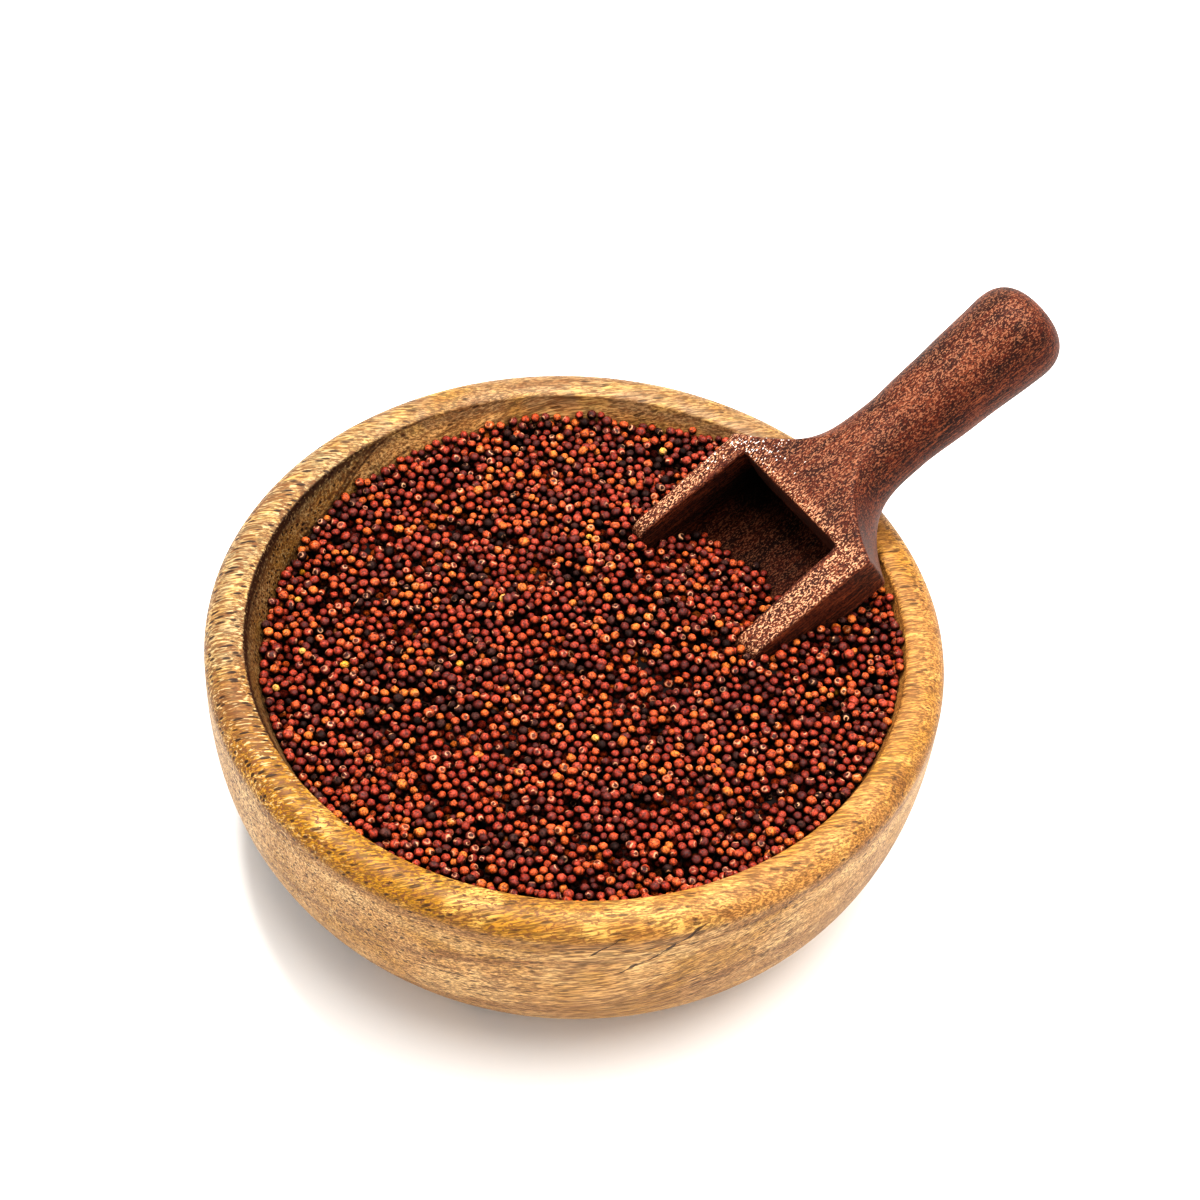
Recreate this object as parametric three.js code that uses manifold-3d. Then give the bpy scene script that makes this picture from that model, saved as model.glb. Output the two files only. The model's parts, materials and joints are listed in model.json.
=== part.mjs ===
// Bowl of finger millet: a turned wooden bowl, the heap of grain that fills it, and the small wooden
// scoop that stands in the grain with its handle over the rim.
// Millimetres, +Z up. The origin is on the floor under the middle of the bowl.
import * as THREE from "three";
import { mergeVertices } from "three/addons/utils/BufferGeometryUtils.js";
import Module from "manifold-3d";

const wasm = await Module();
wasm.setup();

// The air left between two pieces that touch, how far two parts of one solid run into each other, and
// how far a cutting shape runs past what it cuts.
const GAP = 0.3;
const OVERLAP = 0.5;
const PAST = 4;

// Bowl, outside: a flat foot, a full round belly and a lip that rolls over to the hollow.
const BOWL_RADIUS = 54;
const WIDEST_HEIGHT = 35;
const FOOT_RADIUS = 33;
const BELLY_POWER_OUT = 2.0;
const BELLY_POWER_UP = 2.7;
const RIM_HEIGHT = 37.9;
const RIM_CREST_RADIUS = 50.4;
// Bowl, inside: the crease under the lip, the leaning wall below it and the flat floor.
const CREASE_RADIUS = 48.1;
const CREASE_HEIGHT = 37.2;
const WALL_LEAN = 0.38;
const FLOOR_THICKNESS = 8;
const FLOOR_RADIUS = 16;
const WALL_PULL = 10;
const FLOOR_PULL = 24;
const BOWL_SIDES = 56;
const BELLY_STEPS = 9;
const LIP_STEPS = 3;
const WALL_STEPS = 5;

// Grain: a filled level that leans down to the left, a little crowned in the middle.
const GRAIN_LEVEL = 33.8;
const GRAIN_LEAN_X = 0.062;
const GRAIN_LEAN_Y = 0.014;
const GRAIN_CROWN = 1.2;
const GRAIN_STEP = 1.29;
const GRAIN_BUMP = 0.3;
const GRAIN_SHIFT = 0.16;
const GRAIN_UNEVEN = 0.12;
const GRAIN_SEED = 11;

// Scoop: a square block whose tail is turned round on an axis a little to the right of its own. Its X
// runs from the back edge of the hollow towards the handle, its Y to the left and its Z up. COVE_RISE
// is what the radius gains from the neck to the cove's start, which lies further back on the right.
const HEAD_LEFT = 14.7;
const HEAD_RIGHT = 17.4;
const HEAD_TAPER = 0.03;
const HEAD_TOP = 6.25;
const HEAD_BOTTOM = -6.25;
const HEAD_SIDE_HEIGHT = 8.5;
const HEAD_CHAMFER_IN = 5.5;
const HEAD_FRONT = -26.5;
const HEAD_TOP_FRONT = -18;
const HEAD_BOTTOM_FRONT = -17;
const NOSE_FRONT = -21;
const NOSE_HEIGHT = 2.5;
const LIP_TOP = -2.2;
const LIP_BOTTOM = -4.4;
const HOLLOW_HALF = 11.3;
const HOLLOW_TO_RIGHT = 0.35;
const HOLLOW_FLARE = 0.04;
const HOLLOW_DEPTH = 9;
const HOLLOW_CORNER = 3;
const NECK_RADIUS = 6.25;
const NECK_AT = 19.5;
const COVE_START = 0.75;
const COVE_RISE = 12.08;
const COVE_POWER = 3.45;
const COVE_SKEW = 0.086;
const HANDLE_TAPER = 0.0607;
const HANDLE_SHOULDER = 41.5;
const HANDLE_END = 47.7;
const HANDLE_END_POWER = 2.6;
const TAIL_TURN = -0.86;
const SCOOP_SIDES = 28;
const COVE_STEPS = 9;
const END_STEPS = 5;

// Where the scoop lies: the point of its axis below the back edge of its hollow, the way its handle
// points, how steeply it rises, and its slight roll to the left.
const SCOOP_PLACE = new THREE.Vector3(32.09, 22.83, 40.75);
const SCOOP_HEADING = 37.55;
const SCOOP_RISE = 26.5;
const SCOOP_ROLL = -0.92;
// The grain inside the scoop falls off from this place towards the scoop's back, sooner on its left.
const FILL_START = -22;
const FILL_SLOPE = 0.3;
const FILL_SKEW = 0.45;
// The grain that the scoop pushed up: how high, from its nose to this place, and how far beyond.
const MOUND = 1.2;
const MOUND_BACK = -8;
const MOUND_REACH = 6;

const radians = THREE.MathUtils.degToRad;
const steps = (count) => Array.from({ length: count + 1 }, (_, i) => i / count);

// A closed three.js geometry as a solid that can be cut and joined.
function toSolid(geometry) {
  const bare = geometry.clone();
  bare.deleteAttribute("normal");
  bare.deleteAttribute("uv");
  const merged = mergeVertices(bare, 1e-4);
  return new wasm.Manifold(
    new wasm.Mesh({
      numProp: 3,
      vertProperties: merged.attributes.position.array,
      triVerts: new Uint32Array(merged.index.array),
    }),
  );
}

function toGeometry(solid) {
  const mesh = solid.getMesh();
  return new THREE.BufferGeometry()
    .setAttribute("position", new THREE.BufferAttribute(mesh.vertProperties, 3))
    .setIndex(new THREE.BufferAttribute(mesh.triVerts, 1));
}

function namedMesh(name, geometry, material) {
  const mesh = new THREE.Mesh(geometry, material);
  mesh.name = name;
  return mesh;
}

// Turned shapes: a profile of radius and height, spun about Z.
function turned(profile, sides) {
  return new THREE.LatheGeometry(profile, sides).rotateX(Math.PI / 2);
}

// The wall and floor of the hollow, from the crease down to the middle of the floor.
function hollowProfile(inset) {
  const wall = new THREE.CubicBezierCurve(
    new THREE.Vector2(CREASE_RADIUS, CREASE_HEIGHT),
    new THREE.Vector2(CREASE_RADIUS - WALL_LEAN * WALL_PULL, CREASE_HEIGHT - WALL_PULL),
    new THREE.Vector2(FLOOR_RADIUS + FLOOR_PULL, FLOOR_THICKNESS),
    new THREE.Vector2(FLOOR_RADIUS, FLOOR_THICKNESS),
  );
  const points = wall.getPoints(WALL_STEPS).map((p) => new THREE.Vector2(p.x - inset, p.y + inset));
  return [...points, new THREE.Vector2(0, FLOOR_THICKNESS + inset)];
}

function bowlGeometry() {
  const belly = steps(BELLY_STEPS).map((t) => {
    const angle = (1 - t) * (Math.PI / 2);
    const out = Math.cos(angle) ** (2 / BELLY_POWER_OUT);
    const down = Math.sin(angle) ** (2 / BELLY_POWER_UP);
    return new THREE.Vector2(FOOT_RADIUS + (BOWL_RADIUS - FOOT_RADIUS) * out, WIDEST_HEIGHT * (1 - down));
  });
  const lipOut = steps(LIP_STEPS).slice(1).map((t) => {
    const angle = t * (Math.PI / 2);
    return new THREE.Vector2(
      RIM_CREST_RADIUS + (BOWL_RADIUS - RIM_CREST_RADIUS) * Math.cos(angle),
      WIDEST_HEIGHT + (RIM_HEIGHT - WIDEST_HEIGHT) * Math.sin(angle),
    );
  });
  const lipIn = steps(LIP_STEPS).slice(1, -1).map((t) => {
    const angle = t * (Math.PI / 2);
    return new THREE.Vector2(
      RIM_CREST_RADIUS - (RIM_CREST_RADIUS - CREASE_RADIUS) * Math.sin(angle),
      CREASE_HEIGHT + (RIM_HEIGHT - CREASE_HEIGHT) * Math.cos(angle),
    );
  });
  return turned([new THREE.Vector2(0, 0), ...belly, ...lipOut, ...lipIn, ...hollowProfile(0)], BOWL_SIDES);
}

// A flat outline pushed along an axis of the scoop: "x" for its cross-section, "y" for its side view.
function pushed(shape, axis, from, to) {
  const geometry = new THREE.ExtrudeGeometry(shape, { depth: to - from, bevelEnabled: false, curveSegments: 4 });
  if (axis === "x") geometry.rotateX(Math.PI / 2).rotateZ(Math.PI / 2).translate(from, 0, 0);
  else geometry.rotateX(Math.PI / 2).translate(0, to, 0);
  return geometry;
}

// Narrows or widens a piece sideways in proportion to its X.
function tapered(geometry, perMillimetre) {
  const position = geometry.attributes.position;
  for (let i = 0; i < position.count; i++)
    position.setY(i, position.getY(i) * (1 + perMillimetre * position.getX(i)));
  return geometry;
}

function outline(points) {
  return new THREE.Shape(points.map(([x, y]) => new THREE.Vector2(x, y)));
}

// The block that the head is cut from: flat top, upright sides and a bottom with broad chamfers.
function headBlock(grow) {
  const top = HEAD_TOP + grow;
  const side = HEAD_TOP - HEAD_SIDE_HEIGHT - grow / 2;
  const bottom = HEAD_BOTTOM - grow;
  const left = HEAD_LEFT + grow;
  const right = -HEAD_RIGHT - grow;
  const section = outline([
    [left, top],
    [right, top],
    [right, side],
    [right + HEAD_CHAMFER_IN, bottom],
    [left - HEAD_CHAMFER_IN, bottom],
    [left, side],
  ]);
  const taper = (2 * HEAD_TAPER) / (HEAD_LEFT + HEAD_RIGHT);
  return toSolid(tapered(pushed(section, "x", HEAD_FRONT - grow, NECK_AT + OVERLAP), taper));
}

// The head seen from its side: a level top that rounds down to a thin front lip.
function headSide(grow) {
  const top = HEAD_TOP + grow;
  const bottom = HEAD_BOTTOM - grow;
  const shape = new THREE.Shape();
  shape.moveTo(NECK_AT + OVERLAP, bottom);
  shape.lineTo(NECK_AT + OVERLAP, top);
  shape.lineTo(HEAD_TOP_FRONT, top);
  shape.quadraticCurveTo(NOSE_FRONT - grow, top, NOSE_FRONT - grow, NOSE_HEIGHT);
  shape.lineTo(HEAD_FRONT - grow, LIP_TOP);
  shape.lineTo(HEAD_FRONT - grow, LIP_BOTTOM);
  shape.quadraticCurveTo(NOSE_FRONT, bottom, HEAD_BOTTOM_FRONT, bottom);
  return toSolid(pushed(shape, "y", -2 * HEAD_RIGHT, 2 * HEAD_RIGHT));
}

// The radius of the turned tail at a place on its axis: the cove, the neck and the swelling handle.
function tailRadius(x) {
  const before = Math.max(0, NECK_AT - x) / (NECK_AT - COVE_START);
  const after = Math.max(0, x - NECK_AT);
  return NECK_RADIUS + COVE_RISE * before ** COVE_POWER + HANDLE_TAPER * after;
}

// Slants the cove, less and less towards the neck.
function slanted(geometry) {
  const position = geometry.attributes.position;
  for (let i = 0; i < position.count; i++) {
    const x = position.getX(i);
    const share = x > HEAD_FRONT ? Math.max(0, 1 - x / NECK_AT) : 0;
    position.setX(i, x - COVE_SKEW * share * position.getY(i));
  }
  return geometry;
}

function tail(grow) {
  const coveRadius = tailRadius(COVE_START);
  const fullRadius = Math.hypot(HEAD_RIGHT, HEAD_TOP) + coveRadius;
  const cove = steps(COVE_STEPS).map((t) => COVE_START + t * (NECK_AT - COVE_START));
  const handle = steps(2).slice(1).map((t) => NECK_AT + t * (HANDLE_SHOULDER - NECK_AT));
  const along = [...cove, ...handle].map((x) => new THREE.Vector2(tailRadius(x) + grow, x));
  const endRadius = tailRadius(HANDLE_SHOULDER);
  const end = steps(END_STEPS).slice(1).map((t) => {
    const angle = t * (Math.PI / 2);
    return new THREE.Vector2(
      t === 1 ? 0 : (endRadius + grow) * Math.cos(angle) ** (2 / HANDLE_END_POWER),
      HANDLE_SHOULDER + (HANDLE_END + grow - HANDLE_SHOULDER) * Math.sin(angle) ** (2 / HANDLE_END_POWER),
    );
  });
  const profile = [
    new THREE.Vector2(0, HEAD_FRONT - PAST),
    new THREE.Vector2(fullRadius, HEAD_FRONT - PAST),
    new THREE.Vector2(fullRadius, COVE_START - grow),
    ...along,
    ...end,
  ];
  const lathed = new THREE.LatheGeometry(profile, SCOOP_SIDES).rotateZ(-Math.PI / 2);
  return toSolid(slanted(lathed).rotateZ(radians(TAIL_TURN)));
}

// Everything behind the neck, where the tail keeps its full round.
function behindNeck() {
  const half = 2 * HEAD_RIGHT;
  return toSolid(new THREE.BoxGeometry(2 * half, 2 * half, 2 * half).translate(NECK_AT + half, 0, 0));
}

// The hollow: square corners in plan, a flat floor with rounded edges, open at the front.
function hollow(grow) {
  const half = HOLLOW_HALF - grow;
  const floor = HEAD_TOP - HOLLOW_DEPTH + grow;
  const above = HEAD_TOP + PAST;
  const shape = new THREE.Shape();
  shape.moveTo(half, above);
  shape.lineTo(-half, above);
  shape.lineTo(-half, floor + HOLLOW_CORNER);
  shape.quadraticCurveTo(-half, floor, -half + HOLLOW_CORNER, floor);
  shape.lineTo(half - HOLLOW_CORNER, floor);
  shape.quadraticCurveTo(half, floor, half, floor + HOLLOW_CORNER);
  const room = tapered(pushed(shape, "x", HEAD_FRONT - PAST, -grow), -HOLLOW_FLARE / HOLLOW_HALF);
  return toSolid(room.translate(0, -HOLLOW_TO_RIGHT, 0));
}

// The whole scoop, or with grow the room that it takes up in the grain.
function scoopSolid(grow) {
  const block = headBlock(grow).intersect(headSide(grow));
  return tail(grow).intersect(block.add(behindNeck())).subtract(hollow(grow));
}

function placeScoop(object) {
  object.rotation.order = "ZYX";
  object.rotation.set(radians(SCOOP_ROLL), radians(-SCOOP_RISE), radians(SCOOP_HEADING));
  object.position.copy(SCOOP_PLACE);
  object.updateMatrixWorld(true);
  return object;
}

// A repeatable source of draws from 0 to 1.
function seededDraws(seed) {
  let state = seed;
  return () => {
    state = (Math.imul(state, 1664525) + 1013904223) >>> 0;
    return state / 2 ** 32;
  };
}

// The height of the filled surface, before its grains, at a place in the bowl.
function grainHeight(x, y, toScoop) {
  const crown = GRAIN_CROWN * (1 - (x * x + y * y) / CREASE_RADIUS ** 2);
  const open = GRAIN_LEVEL + GRAIN_LEAN_X * x + GRAIN_LEAN_Y * y + crown;
  const local = new THREE.Vector3(x, y, open).applyMatrix4(toScoop);
  const start = FILL_START - FILL_SKEW * Math.max(0, local.y);
  const inside = Math.abs(local.y) < (HOLLOW_HALF + HEAD_LEFT) / 2 && local.x > start && local.x < 0;
  const pastX = Math.max(0, NOSE_FRONT - local.x, local.x - MOUND_BACK);
  const pastY = Math.max(0, local.y - HEAD_LEFT, -HEAD_RIGHT - local.y);
  const mound = MOUND * Math.exp(-(pastX ** 2 + pastY ** 2) / MOUND_REACH ** 2);
  return open + mound - (inside ? FILL_SLOPE * (local.x - start) : 0);
}

// Grain: a square net over the bowl whose knots stand high and low in turn, so that each high knot is
// one grain, trimmed to the hollow of the bowl and to the room that the scoop takes up.
function grainGeometry(scoop) {
  const cells = 2 * Math.ceil(CREASE_RADIUS / GRAIN_STEP);
  const width = cells * GRAIN_STEP;
  const deep = CREASE_HEIGHT;
  const block = new THREE.BoxGeometry(width, width, deep, cells, cells, 1).translate(0, 0, deep / 2);
  const topFaces = block.groups[4];
  const index = block.index.array;
  for (let cell = 0; cell < cells * cells; cell++) {
    const first = topFaces.start + 6 * cell;
    const column = cell % cells;
    const row = Math.floor(cell / cells);
    const [a, b, d] = [index[first], index[first + 1], index[first + 2]];
    const c = index[first + 4];
    if ((column + row) % 2 === 0) index.set([a, b, c, a, c, d], first);
  }
  const draw = seededDraws(GRAIN_SEED);
  const between = (reach) => reach * (2 * draw() - 1);
  const toScoop = placeScoop(new THREE.Object3D()).matrixWorld.clone().invert();
  block.deleteAttribute("normal");
  block.deleteAttribute("uv");
  const net = mergeVertices(block, 1e-4);
  const position = net.attributes.position;
  for (let i = 0; i < position.count; i++) {
    if (position.getZ(i) < deep / 2) continue;
    const x = position.getX(i);
    const y = position.getY(i);
    const high = (Math.round(x / GRAIN_STEP) + Math.round(y / GRAIN_STEP)) % 2 === 0;
    const height = grainHeight(x, y, toScoop) + (high ? GRAIN_BUMP : -GRAIN_BUMP) + between(GRAIN_UNEVEN);
    position.setXYZ(i, x + between(GRAIN_SHIFT), y + between(GRAIN_SHIFT), height);
  }
  const top = new THREE.Vector2(0, CREASE_HEIGHT + GAP);
  const rim = new THREE.Vector2(CREASE_RADIUS - GAP, CREASE_HEIGHT + GAP);
  const room = toSolid(turned([...hollowProfile(GAP).reverse(), rim, top], BOWL_SIDES));
  const cut = toSolid(net).intersect(room).subtract(scoop);
  return toGeometry(cut.decompose().sort((a, b) => b.volume() - a.volume())[0]);
}

const bowlWood = new THREE.MeshStandardMaterial({ color: 0xc89a5e, roughness: 0.5, metalness: 0 });
const scoopWood = new THREE.MeshStandardMaterial({ color: 0x6e3524, roughness: 0.7, metalness: 0 });
const milletSkin = new THREE.MeshStandardMaterial({ color: 0x6a1f12, roughness: 0.55, metalness: 0 });

const scoopRoom = placeScoop(new THREE.Object3D());
const scoopCutter = scoopSolid(GAP).transform(scoopRoom.matrixWorld.elements);

const part = new THREE.Group();
part.add(namedMesh("bowl", bowlGeometry(), bowlWood));
part.add(namedMesh("millet", grainGeometry(scoopCutter), milletSkin));
const scoop = placeScoop(new THREE.Group());
scoop.add(namedMesh("scoop", toGeometry(scoopSolid(0)), scoopWood));
part.add(scoop);

export default part;
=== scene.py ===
import json
import math
from itertools import product

import bmesh
import bpy
import numpy as np
from mathutils import Matrix, Vector, noise
from mathutils.bvhtree import BVHTree

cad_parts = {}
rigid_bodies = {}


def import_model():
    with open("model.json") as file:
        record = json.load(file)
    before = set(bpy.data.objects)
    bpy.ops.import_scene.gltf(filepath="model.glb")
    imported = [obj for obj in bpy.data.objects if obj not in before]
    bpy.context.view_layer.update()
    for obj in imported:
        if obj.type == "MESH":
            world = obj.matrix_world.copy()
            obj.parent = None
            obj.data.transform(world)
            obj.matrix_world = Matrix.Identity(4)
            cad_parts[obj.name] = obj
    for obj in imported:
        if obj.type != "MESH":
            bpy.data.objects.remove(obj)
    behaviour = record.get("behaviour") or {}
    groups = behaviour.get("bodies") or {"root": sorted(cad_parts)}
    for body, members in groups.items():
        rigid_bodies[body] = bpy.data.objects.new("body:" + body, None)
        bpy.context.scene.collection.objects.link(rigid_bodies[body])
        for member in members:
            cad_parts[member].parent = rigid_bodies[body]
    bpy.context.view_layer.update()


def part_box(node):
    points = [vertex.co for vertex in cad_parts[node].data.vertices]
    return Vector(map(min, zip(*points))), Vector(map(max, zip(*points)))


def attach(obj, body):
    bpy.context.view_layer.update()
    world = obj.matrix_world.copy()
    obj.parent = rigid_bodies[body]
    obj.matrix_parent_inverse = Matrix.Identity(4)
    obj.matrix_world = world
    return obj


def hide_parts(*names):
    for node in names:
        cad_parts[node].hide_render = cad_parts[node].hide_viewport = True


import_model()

mm = 0.001

# ----------------------------------------------
# The bowl. One block of open-pored golden hardwood, turned on a lathe inside and out: a flat foot,
# a full belly, a lip that rolls over to the hollow, and a leaning inner wall. Oiled, not varnished.
# ----------------------------------------------
bowl_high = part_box("bowl")[1]
bowl_radius = bowl_high.x
rim_height = bowl_high.z
widest_height = rim_height - 2.9 * mm
foot_radius = 33 * mm
belly_power_out = 2.0
belly_power_up = 2.7
crest_radius = bowl_radius - 3.6 * mm
crease_radius = bowl_radius - 5.9 * mm
crease_height = rim_height - 0.7 * mm
wall_lean = 0.38
wall_pull = 10 * mm
floor_pull = 24 * mm
floor_radius = 16 * mm
floor_thickness = 8 * mm
bowl_sides = 288
bowl_unevenness = 0.16 * mm
fibre_heading = math.radians(9)
fibre_rise = math.radians(10)


def quarter(stations):
    """Angles from 0 to a quarter turn, for rounding an edge."""
    return np.linspace(0, math.pi / 2, stations)


def hollow_wall(stations):
    """Radius and height down the hollow's wall, from the crease to the edge of its flat floor."""
    t = np.linspace(0, 1, stations)[:, None]
    corners = np.array([
        (crease_radius, crease_height),
        (crease_radius - wall_lean * wall_pull, crease_height - wall_pull),
        (floor_radius + floor_pull, floor_thickness),
        (floor_radius, floor_thickness),
    ])
    weights = np.hstack([(1 - t) ** 3, 3 * t * (1 - t) ** 2, 3 * t * t * (1 - t), t ** 3])
    return weights @ corners


def bowl_section():
    """Half of the bowl's cross-section, from the middle of its foot round to the middle of its floor."""
    turn = quarter(56)[::-1]
    belly = np.column_stack([
        foot_radius + (bowl_radius - foot_radius) * np.cos(turn) ** (2 / belly_power_out),
        widest_height * (1 - np.sin(turn) ** (2 / belly_power_up)),
    ])
    turn = quarter(18)[1:]
    lip_out = np.column_stack([
        crest_radius + (bowl_radius - crest_radius) * np.cos(turn),
        widest_height + (rim_height - widest_height) * np.sin(turn),
    ])
    turn = quarter(12)[1:-1]
    lip_in = np.column_stack([
        crest_radius - (crest_radius - crease_radius) * np.sin(turn),
        crease_height + (rim_height - crease_height) * np.cos(turn),
    ])
    foot = [(r, 0) for r in np.linspace(0, foot_radius, 12)[:-1]]
    floor = [(r, floor_thickness) for r in np.linspace(floor_radius, 0, 8)[1:]]
    return np.vstack([foot, belly, lip_out, lip_in, hollow_wall(48), floor])


def add(tree, kind, sockets=(), **settings):
    """A node in a tree. Sockets maps its inputs to a value or to another node's output."""
    node = tree.nodes.new(kind)
    for name, value in settings.items():
        setattr(node, name, value)
    for name, value in dict(sockets).items():
        if isinstance(value, bpy.types.NodeSocket):
            tree.links.new(value, node.inputs[name])
        else:
            node.inputs[name].default_value = value
    return node


def calc(tree, operation, *values):
    """The result of a Math node."""
    return add(tree, "ShaderNodeMath", dict(enumerate(values)), operation=operation).outputs[0]


def times(tree, first, *others):
    """The product of values."""
    for other in others:
        first = calc(tree, "MULTIPLY", first, other)
    return first


def calc_vector(tree, operation, *values, **named):
    """The result of a Vector Math node, a vector or one number."""
    node = add(tree, "ShaderNodeVectorMath", dict(enumerate(values)) | named, operation=operation)
    return node.outputs["Value" if operation in ("DISTANCE", "DOT_PRODUCT") else "Vector"]


def split(tree, vector):
    """The three parts of a vector."""
    return add(tree, "ShaderNodeSeparateXYZ", {0: vector}).outputs


def new_piece(name, points, faces=(), edges=()):
    """A mesh object at the origin, with its place in its mesh."""
    mesh = bpy.data.meshes.new(name)
    mesh.from_pydata([tuple(p) for p in points], edges, faces)
    piece = bpy.data.objects.new(name, mesh)
    bpy.context.scene.collection.objects.link(piece)
    return piece


def new_tree(name, inputs):
    """A geometry tree with a geometry in and out and the named inputs, and its two end nodes."""
    tree = bpy.data.node_groups.new(name, "GeometryNodeTree")
    tree.interface.new_socket("Geometry", in_out="INPUT", socket_type="NodeSocketGeometry")
    tree.interface.new_socket("Geometry", in_out="OUTPUT", socket_type="NodeSocketGeometry")
    for label, kind in inputs.items():
        tree.interface.new_socket(label, in_out="INPUT", socket_type="NodeSocket" + kind)
    return tree, tree.nodes.new("NodeGroupInput").outputs, tree.nodes.new("NodeGroupOutput").inputs


def grow(piece, tree, **values):
    """Runs a geometry tree on a piece with these inputs and keeps the result as its plain mesh."""
    modifier = piece.modifiers.new(tree.name, "NODES")
    modifier.node_group = tree
    for item in tree.interface.items_tree:
        if item.in_out == "INPUT" and item.name in values:
            modifier[item.identifier] = values[item.name]
    settle(piece)


def settle(piece):
    """The result of a piece's modifiers becomes its own plain mesh."""
    piece.update_tag()
    shown = piece.evaluated_get(bpy.context.evaluated_depsgraph_get())
    mesh = bpy.data.meshes.new_from_object(shown)
    piece.modifiers.clear()
    old, piece.data = piece.data, mesh
    mesh.name = piece.name
    bpy.data.meshes.remove(old)


def face_out(piece):
    """Welds a closed mesh and turns all its faces outwards."""
    shell = bmesh.new()
    shell.from_mesh(piece.data)
    bmesh.ops.remove_doubles(shell, verts=shell.verts, dist=1e-6)
    bmesh.ops.recalc_face_normals(shell, faces=shell.faces)
    shell.to_mesh(piece.data)
    shell.free()


def lathe_tree():
    """Spins a section into a turned body: a net whose rows are the section, bent round the axis."""
    tree, given, result = new_tree("turned_on_lathe", {
        "Stations": "Int", "Sides": "Int", "Unevenness": "Float", "Finish": "Material",
    })
    rows = calc(tree, "ADD", given["Sides"], 1)
    net = add(tree, "GeometryNodeMeshGrid", {"Vertices X": given["Stations"], "Vertices Y": rows})
    index = add(tree, "GeometryNodeInputIndex").outputs[0]
    station = calc(tree, "FLOOR", calc(tree, "DIVIDE", calc(tree, "ADD", index, 0.5), rows))
    side = calc(tree, "SUBTRACT", index, times(tree, station, rows))
    angle = calc(tree, "DIVIDE", times(tree, side, 2 * math.pi), given["Sides"])
    place = add(tree, "GeometryNodeInputPosition").outputs[0]
    sample = add(tree, "GeometryNodeSampleIndex", {
        "Geometry": given["Geometry"], "Value": place, "Index": station,
    }, data_type="FLOAT_VECTOR")
    section = split(tree, sample.outputs[0])
    turned = add(tree, "ShaderNodeCombineXYZ", {
        "X": times(tree, section["X"], calc(tree, "COSINE", angle)),
        "Y": times(tree, section["X"], calc(tree, "SINE", angle)),
        "Z": section["Z"],
    })
    body = add(tree, "GeometryNodeSetPosition", {"Geometry": net.outputs[0], "Position": turned.outputs[0]})
    body = add(tree, "GeometryNodeMergeByDistance", {"Geometry": body.outputs[0], "Distance": 1e-6})
    swell = add(tree, "ShaderNodeTexNoise", {"Vector": place, "Scale": 55.0, "Detail": 1.0})
    amount = times(tree, calc(tree, "SUBTRACT", swell.outputs[0], 0.5), given["Unevenness"])
    normal = add(tree, "GeometryNodeInputNormal").outputs[0]
    push = calc_vector(tree, "SCALE", normal, Scale=amount)
    body = add(tree, "GeometryNodeSetPosition", {"Geometry": body.outputs[0], "Offset": push})
    smooth = add(tree, "GeometryNodeSetShadeSmooth", {"Geometry": body.outputs[0]})
    painted = add(tree, "GeometryNodeSetMaterial", {
        "Geometry": smooth.outputs[0], "Material": given["Finish"],
    })
    tree.links.new(painted.outputs[0], result["Geometry"])
    return tree


def new_material(name):
    """A material with nodes, its tree, its main shader and the place on the piece in millimetres."""
    material = bpy.data.materials.new(name)
    material.use_nodes = True
    tree = material.node_tree
    place = calc_vector(tree, "SCALE", add(tree, "ShaderNodeTexCoord").outputs["Object"], Scale=1 / mm)
    return material, tree, tree.nodes["Principled BSDF"], place


def along_axes(tree, place, axes, centre=(0, 0, 0)):
    """A place measured along three axes of a piece, from a centre."""
    from_centre = calc_vector(tree, "SUBTRACT", place, centre)
    parts = [calc_vector(tree, "DOT_PRODUCT", from_centre, axis) for axis in axes]
    return add(tree, "ShaderNodeCombineXYZ", dict(enumerate(parts))).outputs[0], parts


def squeezed(tree, vector, sizes):
    """A vector divided by a size on each axis."""
    return calc_vector(tree, "MULTIPLY", vector, tuple(1 / size for size in sizes))


def fuzz(tree, vector, detail=2.0, roughness=0.5, scale=1.0):
    """Noise from 0 to 1 on a vector whose sizes are already set."""
    sockets = {"Vector": vector, "Scale": scale, "Detail": detail, "Roughness": roughness}
    return add(tree, "ShaderNodeTexNoise", sockets).outputs[0]


def ramp(tree, value, start, end, low=0.0, high=1.0):
    """A value eased from low to high between start and end."""
    sockets = {"Value": value, 1: start, 2: end, 3: low, 4: high}
    return add(tree, "ShaderNodeMapRange", sockets, interpolation_type="SMOOTHSTEP").outputs[0]


def blend(tree, amount, first, second, mode="MIX"):
    """Two colours mixed by an amount."""
    mix = add(tree, "ShaderNodeMix", {0: amount}, data_type="RGBA", blend_type=mode)
    for socket, colour in ((mix.inputs[6], first), (mix.inputs[7], second)):
        if isinstance(colour, bpy.types.NodeSocket):
            tree.links.new(colour, socket)
        else:
            socket.default_value = (*colour, 1)
    return mix.outputs[2]


def coated(tree, colour, *coats):
    """A colour with others laid over it in turn, each by its own amount."""
    for amount, other in coats:
        colour = blend(tree, amount, colour, other)
    return colour


def darken(tree, colour, amount):
    """A colour times an amount."""
    grey = add(tree, "ShaderNodeCombineXYZ", {0: amount, 1: amount, 2: amount}).outputs[0]
    return blend(tree, 1.0, colour, grey, "MULTIPLY")


def roughen(tree, shader, relief, strength, depth):
    """A fine relief on the surface, this deep."""
    bump = add(tree, "ShaderNodeBump", {"Height": relief, "Strength": strength, "Distance": depth})
    tree.links.new(bump.outputs[0], shader.inputs["Normal"])


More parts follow.
